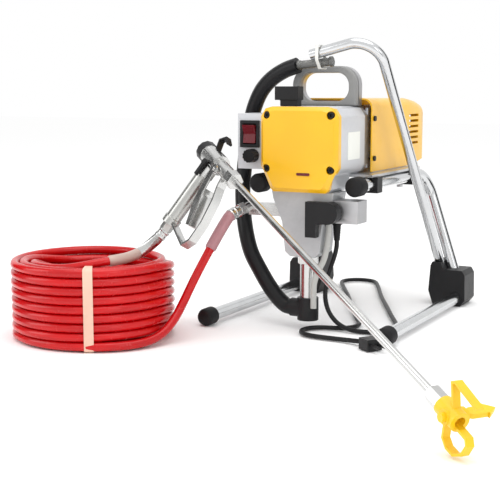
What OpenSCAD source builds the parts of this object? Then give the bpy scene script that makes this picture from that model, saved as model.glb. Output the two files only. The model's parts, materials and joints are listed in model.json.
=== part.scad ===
// Airless paint sprayer: an electric piston pump on a bent-tube stand, with a suction hose,
// a coiled high-pressure hose, and a spray gun with a long lance and a reversible tip.
// Millimetres. X runs to the right, Y to the back, Z up, and the floor is Z = 0.

/* [Stand] */
// Outer diameter of the stand's side tubes
tube_d = 19; // [17:0.5:21]
// Wall of every frame tube
tube_wall = 1.5; // [1:0.25:2.5]
// Distance between the two floor legs, centre to centre
track = 290; // [270:1:300]
// Distance between the two rails under the drive unit
rail_gap = 156; // [150:1:160]
// Height of the rails' centre line
rail_h = 218; // [216:1:220]
// Length of the floor legs
leg_len = 355; // [345:1:360]
// Bend radius of the side tubes
bend_r = 42; // [36:1:46]
// Diameter of the rubber caps on the tube ends
cap_d = 27; // [24:0.5:28]
// Diameter of the cane-shaped hanger tube
hanger_d = 16; // [14:0.5:17]

/* [Drive unit] */
// Half the width of the gear housing
house_hw = 62; // [60:0.5:64]
// Height of the motor's centre line
motor_z = 288; // [286:0.5:290]
// Diameter of the motor can
can_d = 88; // [80:1:90]
// Half the width of the motor shroud
shroud_hw = 69; // [66:0.5:71]
// Y where the motor shroud ends
shroud_end = 375; // [350:1:380]

/* [Pump] */
// Distance of the pump's axis behind the front of the legs
pump_y = 55; // [54:0.5:56]
// Outer diameter of the pump cylinder
pump_d = 24; // [22:0.5:26]
// Stroke of the pump rod
stroke = 22; // [18:1:22]

/* [Hoses and cord] */
// Outer diameter of the high-pressure hose
hose_d = 12.6; // [12:0.1:13]
// Layers of hose one above the other in the coil
coil_rows = 9; // [8:1:9]
// Outer radius of the coil
coil_r = 119; // [116:1:122]
// Outer diameter of the suction hose
suction_d = 24; // [20:0.5:25]
// Diameter of the mains lead
cord_d = 7; // [6:0.5:8]

/* [Gun] */
// Diameter of the lance
lance_d = 9.5; // [9:0.5:13]
// Diameter of the gun's handle
grip_d = 24; // [22:0.5:26]

/* [Hidden] */
$fn = 48;
gap = 0.15;
flat_fn = 32;

// The whole part is moved so that its box without the hoses and the lead is centred on the origin
origin_x = 114.07;
origin_y = -29.44;

leg_x = track / 2;
rail_x = rail_gap / 2;
leg_z = cap_d / 2;
rail_front = 45;
side_path = [[leg_x, 0, leg_z], [leg_x, leg_len, leg_z],
    [rail_x, leg_len - 3, rail_h], [rail_x, rail_front, rail_h]];
hanger_path = [[113, 362, 37], [99, 77, 421], [58, 76, 424], [-8, 77, 408]];
hanger_r = 36;
foot_size = [60, 54, 72];
foot_y = 322;

plate_z = 228.5;
plate_t = 4;
plate_top = plate_z + plate_t;
clamp_ys = [110, 272];
bolt_x = 62;

house_front = 30;
house_back = 118;
house_wall = 5;
cover_front = 15;
flange_back = 130;
screw_spots = [for (x = [-51, 51], z = [243, 321]) [x, z]];
// Right half of the front outline, from the top to the bottom, as [x, z]
face_half = [[44, 333], [55, 330], [house_hw, 319], [house_hw, 246], [57, 237], [50, 233],
    [47, 214], [42, 209]];

crank_z = motor_z - 38;
idler_pos = [23.4, crank_z + 23];
pin_r = stroke / 2;
rest_yoke_z = crank_z - pin_r;

coil_c = [-262, -127];
coil_pitch = hose_d + 0.1;
coil_base = 1.4;
coil_top = coil_base + coil_rows * coil_pitch;
tie_angle = -55;

gun_o = [-106, -40, 256.5];
guard_o = [371, -404, 42.5];
lance_dir = unit(guard_o - gun_o);
lance_len = norm(guard_o - gun_o);
grip_up = [0.545, 0.223, 0.8125];
pivot = [34, -7];

// The high-pressure hose from the outlet to the coil, and from the coil to the gun
lead_out = [[-97, 6, 176], [-100, -4.4, 173], [-103, -14, 165], [-107, -25, 151], [-113, -43, 126],
    [-120, -65, 97], [-126, -88, 65], [-130, -112, 34], [-135, -138, 14], [-141, -160, 8]];
lead_gun = [[-196, -188, 122.4], [-187, -174, 122.4], [-184, -158, 122.4], [-187, -141, 122.4],
    [-191, -121, 122.4], [-192, -103, 124.5], [-189, -87, 130.5], [-183, -76, 141], [-174, -69, 153]];
// The suction hose, from the inlet elbow to the strainer under the hanger
suction_route = [[-27, 55, 31], [-38, 55, 33], [-52, 54, 45], [-67, 54, 63], [-83, 55, 86], [-98, 57, 110],
    [-109, 62, 138], [-119, 72, 168], [-127, 84, 200], [-130, 95, 235], [-129, 102, 270],
    [-124, 103, 300], [-115, 99, 328], [-100, 94, 354], [-80, 90, 373], [-56, 87, 386],
    [-34, 86, 393]];
// The mains lead, from its strain relief down to the floor and round to the plug
cord_route = [[44, 60, 137], [43, 60, 120], [36, 60, 100], [29, 60, 78], [26, 59, 52], [32, 58, 29],
    [49, 57, 11], [72, 55.5, 4], [92, 56, 4], [110, 61, 4], [123, 74, 4], [128, 92, 4], [124, 108, 4],
    [104, 148, 4], [83, 188, 4], [58, 238, 4], [26, 300, 4], [0, 352, 4], [-22, 395, 4], [-48, 447, 4],
    [-58, 458, 4], [-72, 463, 4], [-87, 460, 4], [-98, 450, 4], [-102, 436, 4], [-99, 421, 4],
    [-78, 380, 4], [-55, 335, 4], [-32, 290, 4], [-10, 245, 4], [13, 200, 4], [34, 160, 4],
    [49, 130, 4], [63, 103, 4], [66, 89, 4], [62, 74, 4], [51, 63, 4], [36, 59, 4], [21, 55.5, 4],
    [11, 45, 4], [7, 30, 4], [11, 16, 4], [21, 5.5, 4], [36, 1.5, 4], [58, 1.5, 4], [78, 0, 4],
    [98, -5.5, 5], [116, -16, 7]];

// ---- helpers ----

// A vector of length one
function unit(v) = v / norm(v);

// One point of a smooth curve through the list p, at u between points i and i + 1
function curve_at(p, i, u) =
    let (n = len(p) - 1, a = p[max(i - 1, 0)], b = p[i], c = p[min(i + 1, n)], d = p[min(i + 2, n)])
    0.5 * ((2 * b) + (c - a) * u + (2 * a - 5 * b + 4 * c - d) * u * u
        + (3 * b - a - 3 * c + d) * u * u * u);

// The curve through p with k steps between each two points
function smooth(p, k) = concat(
    [for (i = [0:len(p) - 2], j = [0:k - 1]) curve_at(p, i, j / k)], [p[len(p) - 1]]);

function tangent(p, i) = unit(p[min(i + 1, len(p) - 1)] - p[max(i - 1, 0)]);
function square_to(v, t) = unit(v - (v * t) * t);
function normals(p, i, done) = i == len(p) ? done
    : normals(p, i + 1, concat(done, [square_to(done[i - 1], tangent(p, i))]));

// Rings of points joined into one closed solid
module loft(rings) {
    n = len(rings[0]);
    last = (len(rings) - 1) * n;
    walls = [for (i = [0:len(rings) - 2], j = [0:n - 1])
        let (k = (j + 1) % n, a = i * n)
        [a + j, a + n + j, a + n + k, a + k]];
    polyhedron([for (r = rings, p = r) p], concat(walls, [[for (j = [0:n - 1]) j]],
        [[for (j = [n - 1:-1:0]) last + j]]));
}

// Rings of the diameter d round the points p
function rope_rings(p, d, sides) =
    let (side = normals(p, 1, [square_to([0.3, 0.2, 1], tangent(p, 0))]))
    [for (i = [0:len(p) - 1]) [for (j = [0:sides - 1])
        let (a = 360 * j / sides, n = side[i], b = cross(tangent(p, i), n))
        p[i] + d / 2 * (cos(a) * n + sin(a) * b)]];

// A round rope of diameter d along the points p
module rope(p, d, sides = 10) {
    loft(rope_rings(p, d, sides));
}

// A round pipe along the points p: its outside, its bore and the two ends in one closed solid
module pipe(p, d, bore, sides = 24) {
    rings = concat(rope_rings(p, d, sides), [for (i = [len(p) - 1:-1:0]) rope_rings(p, bore, sides)[i]]);
    m = len(rings);
    polyhedron([for (r = rings, q = r) q], [for (i = [0:m - 1], j = [0:sides - 1])
        let (k = (j + 1) % sides, a = i * sides, b = ((i + 1) % m) * sides)
        [a + j, b + j, b + k, a + k]]);
}

// The points of the path p with its corners bent to the radius r, k steps to a corner
function bent_points(p, r, k = 8) = concat([p[0]], [for (i = [1:len(p) - 2]) let (
    u = unit(p[i] - p[i - 1]),
    v = unit(p[i + 1] - p[i]),
    turn = acos(u * v),
    c = p[i] + unit(v - u) * r / cos(turn / 2),
    e = unit(p[i] - u * cut_back(p, i, r) - c))
    for (j = [0:k]) c + r * (cos(turn * j / k) * e + sin(turn * j / k) * u)], [p[len(p) - 1]]);

// Children stand with their Z axis from p towards q
module along(p, q) {
    z = unit(q - p);
    x = square_to(abs(z.z) < 0.9 ? [0, 0, 1] : [1, 0, 0], z);
    y = cross(z, x);
    multmatrix([[x.x, y.x, z.x, p.x], [x.y, y.y, z.y, p.y], [x.z, y.z, z.z, p.z], [0, 0, 0, 1]])
        children();
}

// Children stand in a frame with its origin at o, X along x and Z near up
module in_frame(o, x, up) {
    z = square_to(up, x);
    y = cross(z, x);
    multmatrix([[x.x, y.x, z.x, o.x], [x.y, y.y, z.y, o.y], [x.z, y.z, z.z, o.z], [0, 0, 0, 1]])
        children();
}

// How far the straight run is cut back at corner i of the path p
function cut_back(p, i, r) = (i == 0 || i == len(p) - 1) ? 0
    : r * tan(acos(unit(p[i] - p[i - 1]) * unit(p[i + 1] - p[i])) / 2);

// A round bar through the points p, with its corners bent to the radius r
module bent_bar(p, r, d) {
    for (i = [0:len(p) - 2]) {
        t = unit(p[i + 1] - p[i]);
        a = p[i] + t * cut_back(p, i, r);
        b = p[i + 1] - t * cut_back(p, i + 1, r);
        along(a, b) cylinder(d = d, h = norm(b - a));
    }
    for (i = [1:len(p) - 2]) {
        u = unit(p[i] - p[i - 1]);
        v = unit(p[i + 1] - p[i]);
        turn = acos(u * v);
        c = p[i] + unit(v - u) * r / cos(turn / 2);
        e1 = unit(p[i] - u * cut_back(p, i, r) - c);
        e3 = cross(e1, u);
        multmatrix([[e1.x, u.x, e3.x, c.x], [e1.y, u.y, e3.y, c.y], [e1.z, u.z, e3.z, c.z],
            [0, 0, 0, 1]])
            rotate_extrude(angle = turn) translate([r, 0]) circle(d = d);
    }
}

// A cylinder along Y from y0 to y1
module y_rod(x, z, y0, y1, d) {
    translate([x, y0, z]) rotate([-90, 0, 0]) cylinder(d = d, h = y1 - y0);
}

// A cylinder along X from x0 to x1
module x_rod(y, z, x0, x1, d) {
    translate([x0, y, z]) rotate([0, 90, 0]) cylinder(d = d, h = x1 - x0);
}

// A block from its low corner to its high corner
module block(low, high) {
    translate(low) cube(high - low);
}

// A flat outline of [x, z] points, given thickness from y0 to y1
module face_plate(outline, y0, y1) {
    translate([0, y1, 0]) rotate([90, 0, 0]) linear_extrude(y1 - y0) polygon(outline);
}

// The closed front outline, drawn in by the distance inset
function face(inset) =
    let (half = [for (p = face_half) [p.x - inset, p.y - inset * (p.y - 271) / 62]])
    concat(half, [for (i = [len(half) - 1:-1:0]) [-half[i].x, half[i].y]]);

module rounded_rect(w, h, r) {
    square([w - 2 * r, h], center = true);
    square([w, h - 2 * r], center = true);
    for (x = [-1, 1], y = [-1, 1]) translate([x * (w / 2 - r), y * (h / 2 - r)]) circle(r);
}

// A gear of n teeth of module m, with its axis along Y
module gear(x, z, y0, y1, n, m, turned = 0) {
    teeth = [for (i = [0:n - 1], k = [0:3])
        let (r = m * (n / 2 + (k == 1 || k == 2 ? 0.8 : -1.15)),
            a = turned + 360 / n * (i + [-0.27, -0.12, 0.12, 0.27][k]))
        [r * cos(a), r * sin(a)]];
    translate([x, y1, z]) rotate([90, 0, 0]) linear_extrude(y1 - y0) polygon(teeth);
}

// The point of a strap's edge beside corner i of the [x, z] points p, at the distance h
function edge_point(p, i, h) =
    let (a = unit(p[max(i, 1)] - p[max(i, 1) - 1]), k = min(i, len(p) - 2), b = unit(p[k + 1] - p[k]),
        m = unit([-a.y - b.y, a.x + b.x]))
    p[i] + m * h / (m * [-b.y, b.x]);

// A flat strap of thickness t and width w along [x, z] points, in the X-Z plane
module strap(p, t, w) {
    n = len(p) - 1;
    translate([0, w / 2, 0]) rotate([90, 0, 0]) linear_extrude(w)
        polygon(concat([for (i = [0:n]) edge_point(p, i, t / 2)],
            [for (i = [n:-1:0]) edge_point(p, i, -t / 2)]));
}

// Puts every part where the origin asks
module placed() {
    translate([-origin_x, -origin_y, 0]) children();
}

// The gun's own frame: X forward along the lance, Z up from the handle
module gun_frame() {
    placed() in_frame(gun_o, lance_dir, grip_up) children();
}

// The tip guard's own frame: X forward along the lance, Z up
module guard_frame() {
    placed() in_frame(guard_o, lance_dir, [0, 0, 1]) children();
}

// ---- stand ----

function side_points(side) = [for (p = side_path) [side * p.x, p.y, p.z]];

module left_stand_tube() {
    color("silver") placed() pipe(bent_points(side_points(-1), bend_r), tube_d, tube_d - 2 * tube_wall);
}

module right_stand_tube() {
    color("silver") placed() pipe(bent_points(side_points(1), bend_r), tube_d, tube_d - 2 * tube_wall);
}

// A rubber cap pushed over a tube's front end, which is at y0
module end_cap(x, z, y0, d) {
    translate([x, y0, z]) rotate([90, 0, 0]) difference() {
        rotate_extrude() polygon([[0, 8], [d / 2 - 5, 8], [d / 2 - 1.5, 6], [d / 2, 2.5],
            [d / 2, -16], [0, -16]]);
        translate([0, 0, -17]) cylinder(d = tube_d + gap, h = 17);
    }
}

module leg_caps() {
    color("black") placed() for (s = [-1, 1]) end_cap(s * leg_x, leg_z, 0, cap_d);
}

module rail_caps() {
    color("black") placed() for (s = [-1, 1]) end_cap(s * rail_x, rail_h, rail_front, cap_d + 2);
}

// The black plastic foot round the rear corner, which also holds the hanger's end
module foot_bracket(side) {
    w = foot_size.x;
    h = foot_size.z;
    x0 = 101;
    outline = [[x0 + 5, 0], [x0 + w - 8, 0], [x0 + w, 10], [x0 + w - 1, 52], [x0 + w - 6, h - 12],
        [x0 + 22, h - 12], [x0 + 17, h], [x0 + 3, h], [x0, h - 6], [x0 - 3, 24]];
    difference() {
        translate([0, foot_y + foot_size.y, 0]) rotate([90, 0, 0]) linear_extrude(foot_size.y)
            polygon([for (p = outline) [side * p.x, p.y]]);
        bent_bar(side_points(side), bend_r, tube_d + 2 * gap);
        if (side > 0) bent_bar(hanger_path, hanger_r, hanger_d + 2 * gap);
    }
}

module left_foot_bracket() {
    color("black") placed() foot_bracket(-1);
}

module right_foot_bracket() {
    color("black") placed() foot_bracket(1);
}

module hanger_tube() {
    color("silver") placed() pipe(bent_points(hanger_path, hanger_r), hanger_d, hanger_d - 2 * tube_wall);
}

module base_plate() {
    color("silver") placed() difference() {
        block([-86, 92, plate_z], [86, 300, plate_top]);
        for (s = [-1, 1], y = clamp_ys) translate([s * bolt_x, y, plate_z - 1])
            cylinder(d = 6 + gap, h = plate_t + 2);
    }
}

module rail_clamps() {
    color("dimgray") placed() for (s = [-1, 1], y = clamp_ys) difference() {
        block([s > 0 ? 55 : -91, y - 10, rail_h - 13], [s > 0 ? 91 : -55, y + 10, plate_z]);
        y_rod(s * rail_x, rail_h, y - 11, y + 11, tube_d + gap);
        translate([s * bolt_x, y, rail_h - 14]) cylinder(d = 6 + gap, h = 40);
    }
}

module clamp_bolts() {
    color("gray") placed() for (s = [-1, 1], y = clamp_ys) translate([s * bolt_x, y, rail_h - 18]) {
        cylinder(d = 11, h = 5, $fn = 6);
        cylinder(d = 6, h = plate_top - rail_h + 18);
    }
}

// ---- drive unit ----

module drive_housing() {
    color("silver") placed() difference() {
        union() {
            difference() {
                face_plate(face(0), house_front, house_back);
                face_plate(face(house_wall), house_front - 1, house_back - house_wall);
            }
            for (p = screw_spots) y_rod(p.x, p.y, house_front, house_front + 28, 11);
            intersection() {
                face_plate(face(0), house_front, house_back);
                block([-house_hw, 87, 208], [house_hw, house_back, plate_top + house_wall]);
            }
        }
        block([-80, 92, 200], [80, 130, plate_top]);
        for (p = screw_spots) y_rod(p.x, p.y, house_front - 1, house_front + 14, 4 + gap);
        y_rod(0, motor_z, 100, 130, 26);
        translate([0, pump_y, 200]) cylinder(d = 30, h = 20);
    }
}

module front_cover() {
    color("gold") placed() difference() {
        union() {
            face_plate(face(0), 21, house_front);
            hull() {
                face_plate(face(0.5), 20.9, 21.1);
                face_plate(face(6), cover_front, cover_front + 0.2);
            }
        }
        face_plate(face(3.5), 18, house_front + 1);
        for (p = screw_spots) y_rod(p.x, p.y, cover_front - 1, 40, 12);
    }
    color("gold") placed() for (p = screw_spots) difference() {
        y_rod(p.x, p.y, 22, house_front, 12);
        y_rod(p.x, p.y, 21, house_front + 1, 4 + gap);
    }
}

module cover_screws() {
    color("black") placed() for (p = screw_spots) {
        difference() {
            y_rod(p.x, p.y, 18, 22, 9);
            y_rod(p.x, p.y, 17, 20.5, 4.6, $fn = 6);
        }
        y_rod(p.x, p.y, 22, house_front + 12, 4);
    }
}

module cover_badge() {
    color("darkred") placed() translate([9, cover_front, 236]) rotate([90, 0, 0])
        linear_extrude(1) rounded_rect(21, 4, 1.5);
}

module info_label() {
    color("white") placed() block([house_hw, 54, 256], [house_hw + 0.8, 98, 296]);
}

// The loop above the housing, as a flat outline
module handle_loop(wide) {
    translate([0, 361]) difference() {
        union() {
            rounded_rect(104, 62, 28);
            translate([-52, -28.5]) square([104, 27]);
        }
        rounded_rect(wide, 42, 19);
        translate([-60, -40]) square([120, 12]);
    }
}

module motor_flange() {
    color("silver") placed() difference() {
        union() {
            difference() {
                face_plate(face(0), house_back, flange_back);
                block([-80, 100, 200], [80, 140, plate_top]);
            }
            translate([0, flange_back, 0]) rotate([90, 0, 0]) linear_extrude(12) handle_loop(82);
            difference() {
                block([-62, flange_back, 240], [62, flange_back + 14, 330]);
                block([-58, flange_back - 1, 243], [58, flange_back + 15, 340]);
            }
        }
        y_rod(0, motor_z, house_back - 1, flange_back + 1, 14);
        y_rod(0, motor_z, house_back + 4, flange_back + 1, 22 + gap / 3);
        for (s = [-1, 1], z = [254, 314]) x_rod(flange_back + 8, z, s * 60 - 4, s * 60 + 4, 3.5 + gap);
    }
}

module carry_handle() {
    color("dimgray") placed() translate([0, house_back, 0]) rotate([90, 0, 0]) linear_extrude(14)
        difference() {
            handle_loop(80);
            square([200, 666], center = true);
        }
}

module hose_clip() {
    color("black") placed() {
        block([-43, 44, 333.2], [-15, 60, 342]);
        block([-51, 42, 342], [-13, 62, 362]);
    }
}

module motor_can() {
    color("gray") placed() difference() {
        y_rod(0, motor_z, flange_back, 300, can_d);
        y_rod(0, motor_z, flange_back - 1, 294, can_d - 6);
        y_rod(0, motor_z, 290, 301, 22 + gap / 3);
    }
}

module motor_field() {
    color("saddlebrown") placed() difference() {
        y_rod(0, motor_z, 152, 272, can_d - 6.2);
        y_rod(0, motor_z, 151, 273, 60);
    }
}

// The shroud's outline at y: half width, low and high edge, and corner radius
function shroud_ring(y, hw, low, high, r) = concat([for (c = [0:1], j = [0:6])
    let (a = 90 * c + 15 * j)
    [(c == 0 ? hw - r : r - hw) + r * cos(a), y, high - r + r * sin(a)]], [[-hw, y, low], [hw, y, low]]);

// The shroud's outside, or the space in it when drawn in by the distance t
module shroud_form(t) {
    loft([shroud_ring(shroud_end - t, shroud_hw - 7 - t, 247 - 9 * t, 328 - t, 18),
        shroud_ring(shroud_end - 8 - t, shroud_hw - 3 - t, 241 - 9 * t, 335 - t, 18),
        shroud_ring(340, shroud_hw - 1 - t, 238 - 9 * t, 339 - t, 16),
        shroud_ring(296, shroud_hw - t, 234 - 9 * t, 343 - t, 14),
        shroud_ring(flange_back - 2 * t, shroud_hw - t, 234 - 9 * t, 344 - t, 14)]);
}

module motor_shroud() {
    color("gold") placed() difference() {
        shroud_form(0);
        shroud_form(2);
        for (i = [0:7]) block([-42, 360, 262 + 8 * i], [42, 380, 266 + 8 * i]);
        for (s = [-1, 1], i = [0:5]) block([s * 68 - 6, 292, 268 + 9 * i], [s * 68 + 6, 340, 272 + 9 * i]);
        for (s = [-1, 1], z = [254, 314]) x_rod(flange_back + 8, z, s * 68 - 4, s * 68 + 4, 3.5 + gap);
    }
}

module shroud_screws() {
    color("black") placed() for (s = [-1, 1], z = [254, 314]) {
        x_rod(flange_back + 8, z, s > 0 ? shroud_hw : -shroud_hw - 3, s > 0 ? shroud_hw + 3 : -shroud_hw, 8);
        x_rod(flange_back + 8, z, s > 0 ? 58.5 : -shroud_hw, s > 0 ? shroud_hw : -58.5, 3.5);
    }
}

module motor_saddle() {
    color("dimgray") placed() difference() {
        block([-26, 180, plate_top], [26, 240, 254]);
        y_rod(0, motor_z, 179, 241, can_d + gap);
    }
}

module armature() {
    color("peru") placed() {
        y_rod(0, motor_z, 84, 320, 8);
        y_rod(0, motor_z, 160, 262, 57);
        y_rod(0, motor_z, 268, 284, 26);
    }
}

module motor_pinion() {
    color("gray") placed() difference() {
        gear(0, motor_z, 85, 96, 11, 1, 0);
        y_rod(0, motor_z, 84, 97, 8);
    }
}

module cooling_fan() {
    color("black") placed() difference() {
        union() {
            y_rod(0, motor_z, 306, 318, 20);
            y_rod(0, motor_z, 306, 308, 78);
            for (a = [0:30:330]) translate([0, 0, motor_z]) rotate([0, a, 0])
                block([9, 308, -1], [38, 317, 1]);
        }
        y_rod(0, motor_z, 305, 319, 8);
    }
}

module bearing(y0) {
    difference() {
        y_rod(0, motor_z, y0, y0 + 7, 22);
        y_rod(0, motor_z, y0 - 1, y0 + 8, 8.1);
    }
}

module motor_bearings() {
    color("lightgray") placed() {
        bearing(122.5);
        bearing(293);
    }
}

module gear_plate() {
    color("gray") placed() difference() {
        union() {
            face_plate([[-50, 244], [50, 244], [54, 250], [54, 316], [46, 324], [-46, 324], [-54, 316],
                [-54, 250]], 98, 104);
            for (x = [-43, 43], z = [254, 313]) y_rod(x, z, 104, house_back - house_wall, 9);
        }
        y_rod(0, motor_z, 97, 105, 16);
        y_rod(0, crank_z, 97, 105, 10.1);
        y_rod(idler_pos.x, idler_pos.y, 97, 105, 8.1);
    }
}

module idler_gear() {
    color("darkgray") placed() {
        gear(idler_pos.x, idler_pos.y, 86, 94, 44, 1, idler_turn);
        gear(idler_pos.x, idler_pos.y, 71, 84, 12, 1.25);
        y_rod(idler_pos.x, idler_pos.y, 84, 86, 12);
        y_rod(idler_pos.x, idler_pos.y, 94, 104, 8);
    }
}

module crank_gear() {
    color("darkgray") placed() {
        gear(0, crank_z, 71, 82, 40, 1.25, crank_turn);
        y_rod(0, crank_z, 82, 104, 10);
        y_rod(0, crank_z, 66, 71, 38);
        y_rod(0, crank_z - pin_r, 61.2, 66, 9);
    }
}

// Angles that put a tooth of one gear into a gap of the next
to_motor = atan2(motor_z - idler_pos.y, -idler_pos.x);
to_crank = atan2(crank_z - idler_pos.y, -idler_pos.x);
idler_turn = to_motor + 360 / 44 * (0.5 + (to_motor - 180) / (360 / 11));
crank_turn = to_crank + 180 + 360 / 40 * (0.5 + to_crank / (360 / 12));

// ---- pump ----

module pump_rod() {
    color("lightgray") placed() difference() {
        union() {
            block([-23, pump_y - 6, rest_yoke_z - 10], [23, pump_y + 5.6, rest_yoke_z + 10]);
            translate([0, pump_y, 64]) cylinder(d = 12, h = rest_yoke_z - 72);
            translate([0, pump_y, 62]) cylinder(d = 17.9, h = 12);
        }
        block([-17, pump_y - 7, rest_yoke_z - 4.8], [17, pump_y + 7, rest_yoke_z + 4.8]);
    }
}

module pump_bracket() {
    outline = [[50, 209], [48, 198], [33, 163], [28, 119], [20, 112]];
    color("darkgray") placed() difference() {
        face_plate(concat(outline, [for (i = [len(outline) - 1:-1:0]) [-outline[i].x, outline[i].y]]),
            32, 80);
        translate([0, pump_y, 111]) cylinder(d = pump_d + gap, h = 75);
        translate([0, pump_y, 180]) cylinder(d = 20, h = 30);
    }
}

module pump_cylinder() {
    color("silver") placed() {
        difference() {
            translate([0, pump_y, 48]) cylinder(d = pump_d, h = 138);
            translate([0, pump_y, 52]) cylinder(d = 18, h = 124);
            translate([0, pump_y, 175]) cylinder(d = 12.1, h = 12);
            translate([0, pump_y, 47]) cylinder(d = 8, h = 6);
        }
        difference() {
            translate([0, pump_y, 100]) cylinder(d = 34, h = 12, $fn = 6);
            translate([0, pump_y, 99]) cylinder(d = pump_d, h = 14);
        }
    }
}

module inlet_elbow() {
    color("black") placed() difference() {
        union() {
            translate([0, pump_y, 14]) cylinder(d = 32, h = 34);
            x_rod(pump_y, 31, -27, 0, 28);
        }
        translate([0, pump_y, 24]) cylinder(d = 8, h = 25);
        x_rod(pump_y, 31, -28, 0, 8);
    }
}

module inlet_ball() {
    color("gray") placed() translate([0, pump_y, 55.05]) sphere(d = 10);
}

module suction_hose() {
    color([0.1, 0.1, 0.1]) placed() rope(smooth(suction_route, 2), suction_d, 12);
}

strainer_a = [-33.5, 86, 393.2];
strainer_b = [22, 89, 398.5];

module suction_strainer() {
    color("gray") placed() {
        along(strainer_a, strainer_b) cylinder(d = 14, h = 52);
        along(strainer_a, strainer_b) translate([0, 0, 52]) cylinder(d = 15.5, h = 4);
    }
}

module cable_tie() {
    color("white") placed() translate([3, 0, 0]) rotate([90, 0, 90]) linear_extrude(5) difference() {
        polygon([[66, 409], [67, 422.5], [84, 422.5], [98, 402], [98, 387], [78, 387], [66, 400]]);
        polygon([[67.4, 409], [68, 421.2], [83.4, 421.2], [96.7, 401.6], [96.7, 388.3],
            [78.6, 388.3], [67.4, 400.4]]);
    }
}

module outlet_manifold() {
    color("silver") placed() {
        difference() {
            block([-92, 38, 170], [-30, 58, 188]);
            face_plate([[-50, 209], [-48, 198], [-33, 163], [-28, 119], [0, 119], [0, 209]], 30, 90);
        }
        along([-86, 44, 186.9], [-97, 6, 176]) cylinder(d = 15, h = 41);
        along([-86, 44, 186.9], [-97, 6, 176]) translate([0, 0, 22]) cylinder(d = 20, h = 12, $fn = 6);
    }
}

module valve_block() {
    color("silver") placed() difference() {
        block([30, 36, 165], [86, 72, 198]);
        face_plate([[50, 209], [48, 198], [33, 163], [28, 119], [0, 119], [0, 209]], 30, 90);
        y_rod(48, 181, 35, 60, 8.1);
    }
}

module prime_lever() {
    color("black") placed() {
        y_rod(48, 181, 12, 31.5, 32);
        block([14, 12, 145], [31, 24, 197]);
        block([22, 12, 165], [48, 24, 197]);
        y_rod(48, 181, 31.5, 56, 8);
    }
}

module drain_tube() {
    color("white") placed()
        pipe(bent_points([[38.5, 42, 165], [38.5, 42, 149], [33, 42, 108], [22, 28, 80], [22, 27, 38]],
            20, 4), 9, 6, 16);
}

// ---- controls ----

module control_box() {
    color("silver") placed() difference() {
        block([-106, 30, 240], [-house_hw - 0.2, 84, 322]);
        block([-103.5, 33, 242.5], [-house_hw - 2.7, 81.5, 319.5]);
        block([-98, 25, 275], [-72, 40, 309]);
        y_rod(-80, 260, 25, 40, 6.1);
    }
}

module switch_frame() {
    color("black") placed() difference() {
        union() {
            block([-101, 26.5, 272], [-69, 30, 312]);
            block([-97.8, 30, 275.2], [-72.2, 46, 308.8]);
        }
        block([-96, 20, 277], [-74, 42, 307]);
    }
}

module switch_rocker() {
    color("red") placed() {
        translate([-95, 0, 0]) rotate([90, 0, 90]) linear_extrude(20)
            polygon([[25, 278.5], [27, 292], [21.5, 305.5], [34, 304.5], [37, 292], [34, 279.5]]);
        x_rod(31, 292, -95.9, -74.1, 4);
    }
}

module pressure_knob() {
    color("black") placed() {
        difference() {
            y_rod(-80, 260, 14, 29.4, 20);
            for (a = [0:30:330]) translate([-80, 0, 260]) rotate([0, a, 0]) y_rod(10.6, 0, 13, 27, 3);
        }
        y_rod(-80, 260, 29.4, 44, 6);
    }
}

// ---- gun ----

module gun_x(x0, x1, d, n = 48) {
    translate([x0, 0, 0]) rotate([0, 90, 0]) cylinder(d = d, h = x1 - x0, $fn = n);
}

module gun_body() {
    color([0.35, 0.35, 0.36]) gun_frame() {
        difference() {
            union() {
                gun_x(-18, 22, 30);
                gun_x(22, 60, 21);
                translate([0, 0, -28]) cylinder(d = 27, h = 28);
            }
            gun_x(-19, 61, 8);
            translate([0, 0, -29]) cylinder(d = 14, h = 26);
            translate([pivot.x, -20, pivot.y]) rotate([-90, 0, 0]) cylinder(d = 5, h = 40);
            translate([8, -20, -9]) rotate([-90, 0, 0]) cylinder(d = 4.1, h = 12);
        }
        gun_x(-34, -18, 32, 12);
        strap([[-8, 14], [-15, 27], [-4, 36], [8, 31]], 3, 9);
        strap([[52, -8], [56, -22], [66, -40], [76, -74], [77, -104], [68, -118], [16, -110]], 3, 14);
    }
}

module gun_handle() {
    color([0.3, 0.3, 0.3]) gun_frame() {
        difference() {
            translate([0, 0, -104]) cylinder(d = grip_d, h = 76);
            translate([0, 0, -100]) cylinder(d = grip_d - 6, h = 73);
        }
        translate([0, 0, -115]) cylinder(d = 27, h = 11);
        translate([0, 0, -127]) cylinder(d = 19, h = 12, $fn = 6);
    }
}

module gun_filter() {
    color("white") gun_frame() difference() {
        translate([0, 0, -99.8]) cylinder(d = 14, h = 66);
        translate([0, 0, -95]) cylinder(d = 10, h = 63);
    }
}

module trigger() {
    color("silver") gun_frame() {
        for (s = [-1, 1]) translate([0, s > 0 ? 15 : -12, 0]) rotate([90, 0, 0]) linear_extrude(3)
            union() {
                translate(pivot) circle(d = 15);
                polygon([[27, -9], [40, -12], [47, -44], [67, -88], [59, -91], [40, -60], [33, -36]]);
            }
        translate([0, 12.5, 0]) rotate([90, 0, 0]) linear_extrude(25)
            polygon([[41, -36], [44, -35], [48, -45], [67, -88], [64, -90], [45, -48]]);
        translate([pivot.x, -17, pivot.y]) rotate([-90, 0, 0]) cylinder(d = 4.9, h = 34);
    }
}

module trigger_lock() {
    color("black") gun_frame() translate([8, -19.4, -9]) rotate([-90, 0, 0]) {
        cylinder(d = 11, h = 4);
        translate([-3.5, 0, 0]) cube([7, 22, 4]);
        cylinder(d = 4, h = 11);
    }
}

module lance() {
    color("silver") gun_frame() {
        difference() {
            gun_x(60, lance_len - 30, lance_d);
            gun_x(59, lance_len - 29, 7);
        }
        difference() {
            gun_x(60, 78, 25, 6);
            gun_x(59, 79, lance_d);
        }
        difference() {
            gun_x(lance_len - 38, lance_len - 17, 21, 6);
            gun_x(lance_len - 39, lance_len - 16, lance_d);
        }
    }
}

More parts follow.
